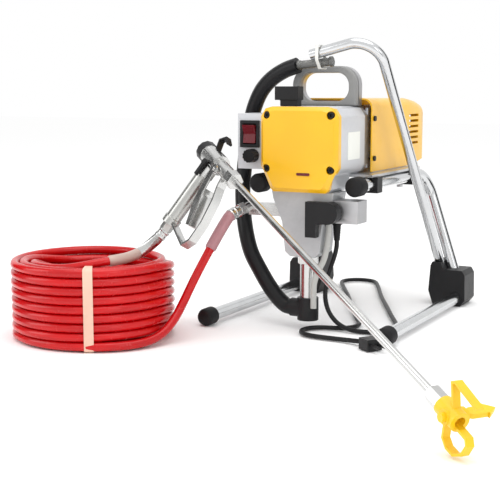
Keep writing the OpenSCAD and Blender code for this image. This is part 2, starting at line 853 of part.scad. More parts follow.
module tip_guard() {
    color([0.9, 0.8, 0.1]) guard_frame() difference() {
        union() {
            gun_x(-16.6, 14, 22);
            translate([2, 12, 0]) rotate([90, 0, 0]) cylinder(d = 16, h = 24);
            strap([[4, 8], [-8, 33], [-4, 36], [36, 31]], 3, 9);
            strap([[-4, -8], [-1, -28], [8, -34], [20, -34], [32, -25], [36, -12], [32, -6], [10, -5]], 3, 9);
        }
        gun_x(-18, 20, 6);
        gun_x(6, 20, 12);
        translate([2, 20, 0]) rotate([90, 0, 0]) cylinder(d = 10.1, h = 40);
    }
}

module spray_tip() {
    color([0.9, 0.75, 0.1]) guard_frame() translate([2, 0, 0]) {
        translate([0, 16, 0]) rotate([90, 0, 0]) difference() {
            cylinder(d = 10, h = 32);
            translate([0, 20, 16]) rotate([90, 0, 0]) cylinder(d = 2, h = 40);
        }
        translate([0, 0, -3]) linear_extrude(6)
            polygon([[-4, 16], [-6, 20], [-6, 38], [-9, 38], [0, 50], [9, 38], [6, 38], [6, 20], [4, 16]]);
    }
}

// ---- high-pressure hose ----

module hose_leads() {
    color("red") placed() {
        rope(smooth(lead_out, 2), hose_d, 10);
        rope(smooth(lead_gun, 2), hose_d, 10);
    }
}

module hose_coil() {
    color("red") placed() translate([coil_c.x, coil_c.y, coil_base]) rotate_extrude($fn = 96)
        translate([coil_r - 3 * coil_pitch, 0]) square([3 * coil_pitch, coil_rows * coil_pitch]);
}

module coil_tie() {
    color("wheat") placed() translate([coil_c.x, coil_c.y, 0]) rotate([0, 0, tie_angle])
        rotate_extrude(angle = 7, $fn = 96) difference() {
            translate([coil_r - 3 * coil_pitch - 1.4, 0.1])
                square([3 * coil_pitch + 2.8, coil_rows * coil_pitch + 2.7]);
            translate([coil_r - 3 * coil_pitch - 0.05, coil_base - 0.05])
                square([3 * coil_pitch + 0.1, coil_rows * coil_pitch + 0.1]);
        }
}

// ---- mains lead ----

module cord_gland() {
    color("gray") placed() translate([44, 60, 137]) {
        cylinder(d1 = cord_d + 1, d2 = 12, h = 24);
        translate([0, 0, 24]) cylinder(d = 16, h = 4);
    }
}

module power_cord() {
    color("black") placed() rope(smooth(cord_route, 2), cord_d, 8);
}

module power_plug() {
    color("black") placed() in_frame([116, -16, 10], unit([0.82, -0.57, 0]), [0, 0, 1]) {
        translate([0, 0, -2]) rotate([0, 90, 0]) cylinder(d1 = 9, d2 = 14, h = 12);
        block([12, -12, -9], [34, 12, 7]);
        for (y = [-6, 6]) translate([34, y, -1]) rotate([0, 90, 0]) cylinder(d = 4.8, h = 18);
    }
}

left_stand_tube();
right_stand_tube();
leg_caps();
rail_caps();
left_foot_bracket();
right_foot_bracket();
hanger_tube();
base_plate();
rail_clamps();
clamp_bolts();
drive_housing();
front_cover();
cover_screws();
cover_badge();
info_label();
motor_flange();
carry_handle();
hose_clip();
motor_can();
motor_field();
motor_shroud();
shroud_screws();
motor_saddle();
armature();
motor_pinion();
cooling_fan();
motor_bearings();
gear_plate();
idler_gear();
crank_gear();
pump_rod();
pump_bracket();
pump_cylinder();
inlet_elbow();
inlet_ball();
suction_hose();
suction_strainer();
cable_tie();
outlet_manifold();
valve_block();
prime_lever();
drain_tube();
control_box();
switch_frame();
switch_rocker();
pressure_knob();
gun_body();
gun_handle();
gun_filter();
trigger();
trigger_lock();
lance();
tip_guard();
spray_tip();
hose_leads();
hose_coil();
coil_tie();
cord_gland();
power_cord();
power_plug();
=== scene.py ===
# %% [markdown]
# # An airless paint sprayer
# A motor, a gearbox and a piston pump stand on two bent tubes. A black hose sucks paint up into the
# pump, and a red hose carries it at high pressure to a spray gun with a long lance.
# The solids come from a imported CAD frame. This lesson gives them rounded edges and real finishes,
# and it makes the soft and detailed pieces that the frame only holds a plain solid for.

# %% Load the frame and keep its box
import json
import math

import bmesh
import bpy
import numpy as np
from mathutils import Matrix, Vector


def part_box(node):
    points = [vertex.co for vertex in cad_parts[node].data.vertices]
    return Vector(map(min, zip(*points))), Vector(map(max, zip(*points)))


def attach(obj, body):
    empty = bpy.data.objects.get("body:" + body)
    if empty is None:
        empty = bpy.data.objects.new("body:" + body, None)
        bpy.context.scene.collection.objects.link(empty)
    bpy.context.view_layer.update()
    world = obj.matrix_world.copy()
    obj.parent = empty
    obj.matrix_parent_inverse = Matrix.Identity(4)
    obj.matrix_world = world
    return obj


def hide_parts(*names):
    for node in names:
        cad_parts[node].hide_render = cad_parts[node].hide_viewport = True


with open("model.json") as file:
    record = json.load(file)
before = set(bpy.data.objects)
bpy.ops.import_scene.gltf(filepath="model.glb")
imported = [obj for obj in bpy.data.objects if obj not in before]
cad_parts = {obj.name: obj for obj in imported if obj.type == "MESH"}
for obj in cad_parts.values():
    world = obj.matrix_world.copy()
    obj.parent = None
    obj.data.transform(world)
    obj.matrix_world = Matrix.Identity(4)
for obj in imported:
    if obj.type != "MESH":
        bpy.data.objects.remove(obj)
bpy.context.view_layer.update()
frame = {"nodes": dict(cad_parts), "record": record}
MM = 0.001

# %% [markdown]
# The CAD file was drawn from a point between the front ends of the two floor legs, and then moved so
# that its box is centred. The leg caps give that point back, so the routes below can be written in
# the drawing's own round numbers.

# %% The drawing's own origin
cap_low, cap_high = (np.array(corner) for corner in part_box("leg_caps"))
drawing = np.array([(cap_low[0] + cap_high[0]) / 2, cap_low[1] + 8 * MM, 0.0])
print("drawing's origin in the frame:", drawing)


def place(points):
    """Points in millimetres from the drawing's origin become metres in the frame."""
    return np.asarray(points, float) * MM + drawing


# %% [markdown]
# ## Camera
# A long lens stands well back and a little above the sprayer, to the right of its front cover. From
# there the lance comes forward and the motor goes back, and both keep their true proportions.

# %% Camera
camera = bpy.data.objects.new("camera", bpy.data.cameras.new("camera"))
bpy.context.scene.collection.objects.link(camera)
camera.location = place([687, -1423, 363])
camera.rotation_euler = (math.radians(81.5), 0, math.radians(28))
camera.data.lens = 79.2
camera.data.sensor_width = 36
camera.data.clip_end = 50
bpy.context.scene.camera = camera
print("camera at", tuple(round(v, 3) for v in camera.location))

# %% [markdown]
# ## Helpers for hoses and bars
# A hose is a circle carried along a smooth path. The circle must not spin about the path as it goes,
# so each ring's sideways direction is the last one's, made square to the new direction.


# %% A smooth path
def smooth(points, steps):
    """Catmull-Rom curve: each point is half the sum of cubic weights times its four neighbours."""
    p = np.asarray(points, float)
    p = np.vstack([p[:1], p, p[-1:]])
    u = np.arange(steps)[:, None, None] / steps
    a, b, c, d = p[:-3], p[1:-2], p[2:-1], p[3:]
    curve = 0.5 * (2 * b + (c - a) * u + (2 * a - 5 * b + 4 * c - d) * u**2
                   + (3 * b - a - 3 * c + d) * u**3)
    return np.vstack([curve.transpose(1, 0, 2).reshape(-1, 3), p[-1:]])


def length_of(path):
    """The sum of the distances between neighbouring points."""
    return float(np.linalg.norm(np.diff(path, axis=0), axis=1).sum())


def spread_evenly(path, count):
    """The same path with its points at equal distances along it."""
    run = np.r_[0, np.cumsum(np.linalg.norm(np.diff(path, axis=0), axis=1))]
    at = np.linspace(0, run[-1], count)
    return np.stack([np.interp(at, run, path[:, k]) for k in range(3)], axis=1)


# %% A round bar of any thickness along a path
def ring_frames(path):
    """Two unit directions square to the path at each point, carried along without a twist."""
    along = np.gradient(path, axis=0)
    along /= np.linalg.norm(along, axis=1)[:, None]
    side = np.empty_like(along)
    start = np.array([0.3, 0.2, 1.0])
    for i, t in enumerate(along):
        start = start - (start @ t) * t
        start = start / np.linalg.norm(start)
        side[i] = start
    return side, np.cross(along, side)


def closed_grid(rings):
    """Faces that join rows of points into a tube: four corners each, and a cap at both ends."""
    rows, cols = rings.shape[:2]
    i, j = np.meshgrid(np.arange(rows - 1), np.arange(cols), indexing="ij")
    k = (j + 1) % cols
    quads = np.stack([i * cols + j, i * cols + k, (i + 1) * cols + k, (i + 1) * cols + j], -1)
    faces = quads.reshape(-1, 4).tolist()
    faces.append(list(range(cols))[::-1])
    faces.append([(rows - 1) * cols + c for c in range(cols)])
    return faces


def make_piece(name, points, faces, body="stand", sharp=35):
    """A mesh object at the origin that rides on a body of the frame."""
    mesh = bpy.data.meshes.new(name)
    mesh.from_pydata(np.asarray(points).reshape(-1, 3).tolist(), [], faces)
    mesh.shade_smooth()
    mesh.set_sharp_from_angle(angle=math.radians(sharp))
    piece = bpy.data.objects.new(name, mesh)
    bpy.context.scene.collection.objects.link(piece)
    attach(piece, body)
    return piece


def bar(name, path, radius, sides=16, body="stand", sharp=35):
    """Point (i, a) = path i + radius i times (side cos a + other side sin a)."""
    side, other = ring_frames(path)
    angle = np.linspace(0, 2 * np.pi, sides, endpoint=False)
    circle = side[:, None] * np.cos(angle)[:, None] + other[:, None] * np.sin(angle)[:, None]
    rings = path[:, None] + circle * np.broadcast_to(radius, len(path))[:, None, None]
    piece = make_piece(name, rings, closed_grid(rings), body, sharp)
    about = np.tile(np.arange(sides) / sides, len(path))
    run = np.r_[0, np.cumsum(np.linalg.norm(np.diff(path, axis=0), axis=1))]
    around_and_along = np.stack([about, np.repeat(run, sides)], 1)
    layer = piece.data.uv_layers.new(name="run")
    corner = np.empty(len(piece.data.loops), np.int64)
    piece.data.loops.foreach_get("vertex_index", corner)
    layer.data.foreach_set("uv", around_and_along[corner].astype(np.float32).ravel())
    return piece


# %% [markdown]
# ## High-pressure hose
# The red hose is about 14 m long. It leaves the pump's outlet, lies in a neat coil of three columns of
# turns, and comes off the top of the coil to the gun. Winding it as one path keeps it one hose:
# the outer column climbs, the next comes down, and the last climbs again.

# %% The hose's path
HOSE = 12.6
PITCH = 12.7
COIL = np.array([-262.0, -127.0, 0.0])
COIL_RADIUS = 119.0
COIL_TOP = 116.9
ROWS = 9
COLUMNS = 3
from_pump = [[-97, 6, 176], [-100, -4.4, 173], [-103, -14, 165], [-107, -25, 151],
             [-113, -43, 126], [-120, -65, 97], [-126, -88, 65], [-130, -112, 34],
             [-135, -138, 14], [-141, -160, 8]]
to_gun = [[-196, -188, 122.4], [-187, -174, 122.4], [-184, -158, 122.4], [-187, -141, 122.4],
          [-191, -121, 122.4], [-192, -103, 124.5], [-189, -87, 130.5], [-183, -76, 141],
          [-174, -69, 153]]


def ease(x):
    """0 below 0, 1 above 1, and the cubic 3x^2 - 2x^3 between."""
    x = np.clip(x, 0, 1)
    return x * x * (3 - 2 * x)


def wound(start, end, radius, z0, climb, window, most):
    """Turns from one angle to another: z rises by climb over 70 degrees after each window angle."""
    a = np.linspace(start, end, int(abs(end - start) / 6) + 2)
    passed = np.clip(abs(window - a) * np.sign((window - a) * (start - end)), -359, None) / 360
    whole = np.floor(passed)
    level = np.minimum(whole + ease((passed - whole) * 360 / 70), most)
    r = radius(a) if callable(radius) else np.full(len(a), radius)
    t = np.radians(a)
    return np.stack([COIL[0] + r * np.cos(t), COIL[1] + r * np.sin(t),
                     z0 + climb * np.maximum(level, 0)], 1)


OUTER, MIDDLE, INNER = 112.65, 99.95, 87.25
FLOOR_ROW = 1.4 + PITCH / 2
TOP_ROW = FLOOR_ROW + (ROWS - 1) * PITCH
outer = wound(-15.3, -3105, lambda a: 125.35 + (OUTER - 125.35) * ease((-15.3 - a) / 65),
              FLOOR_ROW, PITCH, -295, 8)
middle = wound(-3105, -6215, lambda a: OUTER + (MIDDLE - OUTER) * ease((-3105 - a) / 70),
               TOP_ROW, -PITCH, -3395, 8)
inner = wound(85, 1350, INNER, FLOOR_ROW, 2 * PITCH, 150, 4)


def half_turn(side, from_angle, to_angle):
    """Half of the S that turns the hose back inside the coil, as a circle's arc."""
    u = np.array([math.cos(math.radians(-95)), math.sin(math.radians(-95))])
    r = (MIDDLE + INNER) / 4
    centre = COIL[:2] + u * ((MIDDLE - r) if side > 0 else -(INNER - r))
    a = np.radians(np.linspace(from_angle, to_angle, 24))
    return np.stack([centre[0] + r * np.cos(a), centre[1] + r * np.sin(a),
                     np.full(24, FLOOR_ROW)], 1)


hose_path = np.vstack([smooth(from_pump, 4)[:-1], outer[1:], middle[1:],
                       half_turn(1, -95, -275)[1:], half_turn(-1, -95, 85)[1:], inner[1:-2],
                       smooth([inner[-2], [-238, -211, 111.5], [-217, -202, 117.5]] + to_gun, 4)[1:]])
hose_length = length_of(hose_path) * MM
print("high-pressure hose:", round(hose_length, 2), "m")


# %% Ease the two free ends of the hose
def relaxed(path, rounds, ends):
    """Each point of the two ends moves to the mean of itself and its neighbours, some rounds over."""
    path = path.copy()
    count = len(path)
    where = np.r_[3:ends, count - ends:count - 3]
    for _ in range(rounds):
        path[where] = 0.5 * path[where] + 0.25 * (path[where - 1] + path[where + 1])
    return path


even = relaxed(spread_evenly(hose_path, int(length_of(hose_path) / 8)), 14, 60)
hose_metres = place(even)
red_hose = bar("red_hose", hose_metres, HOSE / 2 * MM, 12)
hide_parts("hose_leads", "hose_coil")

# %% [markdown]
# ## Mains lead
# The lead is shown from end to end: out of the strain relief under the housing, down to the floor,
# back past the stand in one long loop, and forward to the plug. It is one black rope of 7 mm. Its
# bends are kept wider than four of its own diameters.

# %% Mains lead
CORD = 7.0
cord_route = [[44, 60, 137], [43, 60, 120], [36, 60, 100], [29, 60, 78], [26, 59, 52], [32, 58, 29],
    [49, 57, 11], [72, 55.5, 4], [92, 56, 4], [110, 61, 4], [123, 74, 4], [128, 92, 4],
    [124, 108, 4], [104, 148, 4], [83, 188, 4], [58, 238, 4], [26, 300, 4], [1, 352, 4],
    [-19, 396, 4], [-45, 449, 4], [-56, 461, 4], [-72, 466, 4], [-88, 463, 4], [-101, 452, 4],
    [-106, 436, 4], [-102, 420, 4], [-80, 379, 4], [-56, 335, 4], [-32, 290, 4], [-10, 245, 4],
    [13, 200, 4], [34, 160, 4], [50, 130, 4], [64, 104, 4], [67, 89, 4], [63, 74, 4], [52, 63, 4],
    [36, 58.5, 4], [20, 54, 4], [8.5, 43, 4], [4, 27.5, 4], [8.5, 12, 4], [20, 0.5, 4], [36, -4, 4],
    [58, -5, 4], [78, -5, 4], [98, -8, 5], [116, -16, 7]]
cord_path = place(relaxed(spread_evenly(smooth(cord_route, 6), 320), 8, 160))
mains_lead = bar("mains_lead", cord_path, CORD / 2 * MM, 12)
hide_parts("power_cord")

# %% [markdown]
# ## Finishes
# A finish is a small graph of nodes. Sums are easier to read as Python than as nodes, so a value that
# changes over a surface is wrapped in a class whose operators add the Math nodes.


# %% Values and finishes
class Value:
    """A node's output that can be used in sums."""

    def __init__(self, finish, socket):
        self.finish, self.socket = finish, socket

    def math(self, operation, a, b):
        return self.finish.node("ShaderNodeMath", {"operation": operation}, {0: a, 1: b})

    def __add__(self, other):
        return self.math("ADD", self, other)

    def __radd__(self, other):
        return self.math("ADD", other, self)

    def __sub__(self, other):
        return self.math("SUBTRACT", self, other)

    def __rsub__(self, other):
        return self.math("SUBTRACT", other, self)

    def __mul__(self, other):
        return self.math("MULTIPLY", self, other)

    def __rmul__(self, other):
        return self.math("MULTIPLY", other, self)


class Finish:
    """A material with a Principled shader, and one method that adds any node."""

    def __init__(self, name, **constants):
        self.material = bpy.data.materials.new(name)
        self.material.use_nodes = True
        self.tree = self.material.node_tree
        self.shader = self.tree.nodes["Principled BSDF"]
        for socket, value in constants.items():
            self.shader.inputs[socket.replace("_", " ")].default_value = value

    def node(self, kind, settings=None, inputs=None, output=0):
        made = self.tree.nodes.new(kind)
        for key, value in (settings or {}).items():
            if key == "stops":
                for stop, (at, colour) in zip(made.color_ramp.elements, value):
                    stop.position, stop.color = at, colour
            else:
                setattr(made, key, value)
        for key, value in (inputs or {}).items():
            if isinstance(value, Value):
                self.tree.links.new(value.socket, made.inputs[key])
            else:
                made.inputs[key].default_value = value
        return Value(self, made.outputs[output])

    def feed(self, socket, value):
        self.tree.links.new(value.socket, self.shader.inputs[socket])

    def place(self, output="Object"):
        return self.node("ShaderNodeTexCoord", output=output)

    def noise(self, scale, detail=3.0, rough=0.55, at=None):
        return self.node("ShaderNodeTexNoise", {}, {"Vector": at or self.place(), "Scale": scale,
                                                    "Detail": detail, "Roughness": rough})

    def ramp(self, value, low, high):
        """0 below low, 1 above high, and straight between."""
        return self.node("ShaderNodeMapRange", {"clamp": True},
                         {"Value": value, "From Min": low, "From Max": high})

    def blend(self, mask, a, b):
        return self.node("ShaderNodeMix", {"data_type": "RGBA"}, {0: mask, 6: a, 7: b}, 2)

    def bump(self, height, strength, distance):
        self.feed("Normal", self.node("ShaderNodeBump", {}, {"Height": height, "Strength": strength,
                                                             "Distance": distance}))


def shade(colour, factor):
    """A colour made darker or lighter, with an alpha of 1."""
    return tuple(min(c * factor, 1.0) for c in colour[:3]) + (1.0,)


def coated(name, colour, rough, grain, depth, dirt=0.12, wear=0.08, **constants):
    """Paint or plastic: a fine grain in the surface, slow changes of tone, and dust in patches."""
    f = Finish(name, **constants)
    slow = f.noise(14, 4)
    fine = f.noise(grain, 2)
    patch = f.ramp(f.noise(55, 5, 0.7), 0.5, 0.72)
    tone = f.blend(f.ramp(slow, 0.35, 0.68), shade(colour, 1 - dirt), shade(colour, 1 + wear))
    f.feed("Base Color", f.blend(patch * 0.35, tone, shade(colour, 1 - 2 * dirt)))
    f.feed("Roughness", rough + 0.10 * (slow - 0.5) + 0.12 * patch)
    f.bump(fine, 0.35, depth)
    return f.material


def bare_metal(name, colour, rough, grain, depth, stretch=(1, 1, 1), smudge=0.12):
    """Metal: brushed or cast grain, smudges that dull it, and a faint change of tone."""
    f = Finish(name, Metallic=1.0)
    at = f.node("ShaderNodeMapping", {}, {"Vector": f.place(), "Scale": stretch})
    fine = f.noise(grain, 3, 0.6, at)
    cloud = f.noise(22, 5, 0.6)
    f.feed("Base Color", f.blend(f.ramp(cloud, 0.35, 0.7), shade(colour, 0.86), shade(colour, 1.05)))
    f.feed("Roughness", rough + smudge * f.ramp(cloud, 0.42, 0.75) + 0.10 * (fine - 0.5))
    f.bump(fine, 0.3, depth)
    return f.material


def chrome_like(name, colour, rough):
    """Bright plating: almost a mirror, with wipe marks and a few pinpoint specks."""
    f = Finish(name, Metallic=1.0)
    cloud = f.noise(30, 5, 0.65)
    specks = f.ramp(f.noise(900, 2), 0.72, 0.8)
    f.feed("Base Color", f.blend(f.ramp(cloud, 0.3, 0.75), shade(colour, 0.9), shade(colour, 1.03)))
    f.feed("Roughness", rough + 0.10 * f.ramp(cloud, 0.45, 0.75) + 0.2 * specks)
    f.bump(f.noise(160, 2), 0.08, 0.00004)
    return f.material


# %% The sprayer's finishes
finishes = {
    "chrome_tube": chrome_like("chrome_tube", (0.66, 0.67, 0.68), 0.15),
    "polished_steel": chrome_like("polished_steel", (0.62, 0.62, 0.61), 0.20),
    "black_rubber": coated("black_rubber", (0.007, 0.007, 0.008), 0.58, 700, 0.00006,
                           Specular_IOR_Level=0.3),
    "black_plastic": coated("black_plastic", (0.009, 0.009, 0.010), 0.42, 1500, 0.00004,
                            Specular_IOR_Level=0.3),
    "plated_steel": bare_metal("plated_steel", (0.66, 0.67, 0.68), 0.30, 420, 0.00003),
    "silver_paint": coated("silver_paint", (0.60, 0.61, 0.635), 0.36, 1900, 0.00005, 0.05, 0.04,
                           Metallic=0.25),
    "yellow_plastic": coated("yellow_plastic", (0.87, 0.475, 0.007), 0.30, 900, 0.00004, 0.05, 0.05,
                             Coat_Weight=0.25),
    "red_plastic": coated("red_plastic", (0.13, 0.008, 0.014), 0.25, 1500, 0.00002),
    "white_film": coated("white_film", (0.80, 0.81, 0.76), 0.35, 1500, 0.00001, 0.03, 0.02),
    "grey_casting": coated("grey_casting", (0.47, 0.48, 0.49), 0.40, 620, 0.00012, Metallic=0.3),
    "handle_grey": coated("handle_grey", (0.27, 0.27, 0.265), 0.45, 900, 0.00006),
    "bare_casting": bare_metal("bare_casting", (0.56, 0.56, 0.57), 0.42, 520, 0.0001),
    "copper_windings": bare_metal("copper_windings", (0.62, 0.30, 0.14), 0.35, 900, 0.0002,
                                  (1, 0.1, 1)),
    "gear_steel": bare_metal("gear_steel", (0.40, 0.40, 0.41), 0.28, 800, 0.00004),
    "dark_grip": bare_metal("dark_grip", (0.50, 0.50, 0.48), 0.27, 700, 0.00006),
    "gun_metal": chrome_like("gun_metal", (0.62, 0.62, 0.61), 0.22),
    "white_plastic": coated("white_plastic", (0.75, 0.75, 0.72), 0.34, 1200, 0.00003, 0.04, 0.03),
    "guard_yellow": coated("guard_yellow", (0.86, 0.55, 0.008), 0.38, 1100, 0.00005, 0.06, 0.05),
    "tie_tape": coated("tie_tape", (0.78, 0.52, 0.40), 0.70, 1300, 0.0002, 0.08, 0.08),
    "black_hose": coated("black_hose", (0.005, 0.005, 0.006), 0.36, 500, 0.00005,
                         Specular_IOR_Level=0.3),
    "clear_tube": coated("clear_tube", (0.42, 0.42, 0.40), 0.22, 700, 0.00003, 0.06, 0.06),
    "cord_pvc": coated("cord_pvc", (0.006, 0.006, 0.007), 0.40, 800, 0.00004,
                       Specular_IOR_Level=0.3),
}
print("finishes made:", len(finishes))

# %% [markdown]
# The hose's cover is red, glossy and a little wavy. Its marks run along it, so this finish reads the
# hose's own UV: one number round the hose, and the distance along it in metres.

# %% Hose finish
hose_finish = Finish("red_hose", Coat_Weight=0.12, Coat_Roughness=0.15, Specular_IOR_Level=0.35)
run = hose_finish.place("UV")
stretched = hose_finish.node("ShaderNodeMapping", {}, {"Vector": run, "Scale": (3, 14, 1)})
streak = hose_finish.noise(1.0, 5, 0.6, stretched)
scuff = hose_finish.ramp(hose_finish.noise(160, 4, 0.7), 0.6, 0.72)
tone = hose_finish.blend(hose_finish.ramp(streak, 0.3, 0.7), (0.42, 0.001, 0.003, 1),
                         (0.62, 0.002, 0.004, 1))
hose_finish.feed("Base Color", hose_finish.blend(scuff * 0.12, tone, (0.70, 0.05, 0.04, 1)))
hose_finish.feed("Roughness", 0.24 + 0.18 * scuff)
hose_finish.bump(streak, 0.25, 0.0002)
finishes["red_hose"] = hose_finish.material


# %% Dressing a piece
def dress(piece, finish):
    """The piece's only material is this finish."""
    piece.data.materials.clear()
    piece.data.materials.append(finishes[finish])


dress(red_hose, "red_hose")
dress(mains_lead, "cord_pvc")

# %% [markdown]
# ## Rounded edges on the CAD pieces
# A CAD solid has knife edges, and real castings and mouldings do not. A copy of the solid has its
# loose triangles joined and its flat faces cleaned, and then every edge sharper than 30 degrees gets a
# narrow bevel, which catches the light as a real edge does.

# %% Softened copies
record = frame["record"]
slot_of = {part["node"]: part["material_slot"] for part in record["subparts"]}
body_of_node = {node: body for body, nodes in record["behaviour"]["bodies"].items()
                for node in nodes}


def softened(node, width):
    """A copy of a CAD node with bevels of the width in millimetres."""
    solid = frame["nodes"][node]
    shape = bmesh.new()
    shape.from_mesh(solid.data)
    bmesh.ops.remove_doubles(shape, verts=shape.verts, dist=2e-6)
    bmesh.ops.dissolve_limit(shape, angle_limit=math.radians(0.6), verts=shape.verts,
                             edges=shape.edges)
    mesh = bpy.data.meshes.new(node + "_soft")
    shape.to_mesh(mesh)
    shape.free()
    mesh.shade_smooth()
    mesh.set_sharp_from_angle(angle=math.radians(34))
    piece = bpy.data.objects.new(node + "_soft", mesh)
    bpy.context.scene.collection.objects.link(piece)
    bevel = piece.modifiers.new("edges", "BEVEL")
    bevel.width = width * MM
    bevel.segments = 2
    bevel.limit_method = "ANGLE"
    bevel.angle_limit = math.radians(30)
    bevel.harden_normals = True
    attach(piece, body_of_node[node])
    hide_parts(node)
    dress(piece, slot_of[node])
    return piece


edge_widths = {
    "drive_housing": 1.6, "front_cover": 1.4, "control_box": 2.2, "motor_flange": 1.2,
    "carry_handle": 3.2, "hose_clip": 1.0, "pump_bracket": 2.4, "valve_block": 1.2,
    "prime_lever": 1.8, "left_foot_bracket": 2.4, "right_foot_bracket": 2.4, "rail_clamps": 1.0,
    "clamp_bolts": 0.5, "base_plate": 0.6, "switch_frame": 0.7, "switch_rocker": 0.7,
    "pressure_knob": 0.6, "gun_body": 0.6, "gun_handle": 0.6, "trigger": 0.7, "trigger_lock": 0.5,
    "lance": 0.5, "tip_guard": 1.0, "spray_tip": 0.7, "inlet_elbow": 1.0, "pump_cylinder": 0.6,
    "outlet_manifold": 0.6, "leg_caps": 0.8, "rail_caps": 0.8, "cover_screws": 0.4,
    "cover_badge": 0.3, "power_plug": 0.8, "shroud_screws": 0.4, "motor_shroud": 1.2,
    "cable_tie": 0.3,
}
soft = {node: softened(node, width) for node, width in edge_widths.items()}
dress(soft["carry_handle"], "handle_grey")
print("softened:", len(soft))

# %% The gun's two finishes
gun_origin = place([-106, -40, 256.5])
gun_axis = place([371, -404, 42.5]) - gun_origin
gun_axis /= np.linalg.norm(gun_axis)
gun_up = np.array([0.545, 0.223, 0.8125])
gun_up -= (gun_up @ gun_axis) * gun_axis
gun_up /= np.linalg.norm(gun_up)
body = soft["gun_body"].data
body.materials[0] = finishes["gun_metal"]
body.materials.append(finishes["black_plastic"])
centres = np.empty(3 * len(body.polygons), np.float32)
body.polygons.foreach_get("center", centres)
centres = centres.reshape(-1, 3) - gun_origin
forward, upward = centres @ gun_axis / MM, centres @ gun_up / MM
dark = (forward < -18.2) | ((upward > 14.5) & (forward < 12))
body.polygons.foreach_set("material_index", dark.astype(np.int32))
print("dark faces on the gun:", int(dark.sum()))

# %% Pieces that keep their CAD shape
for node in ("motor_can", "motor_field", "motor_saddle", "armature", "motor_pinion", "cooling_fan",
             "motor_bearings", "gear_plate", "idler_gear", "crank_gear", "pump_rod", "inlet_ball",
             "gun_filter", "info_label"):
    dress(frame["nodes"][node], slot_of[node])

# %% [markdown]
# ## Bent tubes
# The stand's two side tubes and the cane-shaped hanger are round steel tube bent on a former, so each
# is a circle carried along straight runs and arcs. The arcs get many rings to stay round in the light.


# %% Bent tubes
def bent(corners, radius, steps=24):
    """Straight runs joined by arcs: an arc's points are centre + r (cos t e + sin t u)."""
    p = np.asarray(corners, float)
    out = [p[:1]]
    for a, b, c in zip(p[:-2], p[1:-1], p[2:]):
        u, v = (b - a) / np.linalg.norm(b - a), (c - b) / np.linalg.norm(c - b)
        turn = math.acos(float(u @ v))
        centre = b + (v - u) / np.linalg.norm(v - u) * radius / math.cos(turn / 2)
        e = b - u * radius * math.tan(turn / 2) - centre
        e /= np.linalg.norm(e)
        t = np.linspace(0, turn, steps)[:, None]
        out.append(centre + radius * (np.cos(t) * e + np.sin(t) * u))
    return np.vstack(out + [p[-1:]])


def straight_steps(path, longest):
    """Long gaps in a path are filled with points, so that no ring is further than longest apart."""
    out = [path[:1]]
    for a, b in zip(path[:-1], path[1:]):
        n = max(int(np.linalg.norm(b - a) / longest), 1)
        out.append(a + (b - a) * (np.arange(1, n + 1) / n)[:, None])
    return np.vstack(out)


STAND_TUBE, HANGER_TUBE = 19.0, 16.0
for side, node in ((-1, "left_stand_tube"), (1, "right_stand_tube")):
    corners = [[side * 145, 0, 13.5], [side * 145, 355, 13.5], [side * 78, 352, 218],
               [side * 78, 45, 218]]
    tube = bar(node + "_round", place(straight_steps(bent(corners, 42), 30)), STAND_TUBE / 2 * MM, 32)
    dress(tube, "chrome_tube")
    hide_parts(node)
cane_corners = [[113, 362, 37], [99, 77, 421], [58, 76, 424], [-8, 77, 408]]
cane = place(straight_steps(bent(cane_corners, 36), 30))
hanger = bar("hanger_round", cane, HANGER_TUBE / 2 * MM, 32)
dress(hanger, "chrome_tube")
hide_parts("hanger_tube")
print("tubes made")

# %% [markdown]
# ## Suction hose and strainer
# The suction hose is a stiff moulded hose, held at the pump's foot and by a tie at the hanger. A
# strainer of woven mesh slips into its top end.

# %% Suction hose
SUCTION = 24.0
suction_route = [
    [-27, 55, 31], [-38, 55, 33], [-52, 54, 45], [-67, 54, 63], [-83, 55, 86], [-98, 57, 110],
    [-109, 62, 138], [-119, 72, 168], [-127, 84, 200], [-130, 95, 235], [-129, 102, 270],
    [-124, 103, 300], [-115, 99, 328], [-100, 94, 354], [-80, 90, 373], [-56, 87, 386], [-34, 86, 393]]
suction = bar("suction_round", place(smooth(suction_route, 8)), SUCTION / 2 * MM, 28)
dress(suction, "black_hose")
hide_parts("suction_hose")

# %% Strainer
screen = Finish("strainer_mesh", Metallic=1.0)
at = screen.node("ShaderNodeMapping", {}, {"Vector": screen.place("UV"), "Scale": (150, 3400, 1)})
parts = screen.tree.nodes.new("ShaderNodeSeparateXYZ")
screen.tree.links.new(at.socket, parts.inputs[0])
across, along = Value(screen, parts.outputs[0]), Value(screen, parts.outputs[1])
wave = across.math("SINE", across, 0.0) * across.math("SINE", along, 0.0)
# The sunken half of this pattern is painted near black (0.03): painted shade between the wires. The
# raised half is the grey wire.
wires_and_painted_gaps = screen.ramp(wave, -0.2, 0.5)
screen.feed("Base Color", screen.blend(wires_and_painted_gaps, (0.03, 0.03, 0.03, 1), (0.50, 0.50, 0.48, 1)))
screen.feed("Roughness", 0.35 + 0.3 * (1 - wires_and_painted_gaps))
screen.bump(wave, 0.6, 0.0004)
finishes["strainer_mesh"] = screen.material
a, b = np.array([-33.5, 86, 393.2]), np.array([22.0, 89, 398.5])
a, b = a, a + (b - a) / np.linalg.norm(b - a) * 56
s = np.array([0, 0.06, 0.08, 0.10, 0.90, 0.92, 0.94, 0.99, 1.0])
strainer = bar("strainer_tube", place(a + (b - a) * s[:, None]),
               np.array([6.9, 6.9, 7.0, 6.2, 6.2, 7.7, 7.7, 7.7, 6.9]) * MM, 32)
dress(strainer, "strainer_mesh")
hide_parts("suction_strainer")

# %% [markdown]
# ## Sleeves, fittings and small soft parts
# Each end of the red hose has a plastic sleeve that keeps it from kinking, then a crimped ferrule and a
# nut. They follow the hose's own path, so they are cut from it by distance along it.


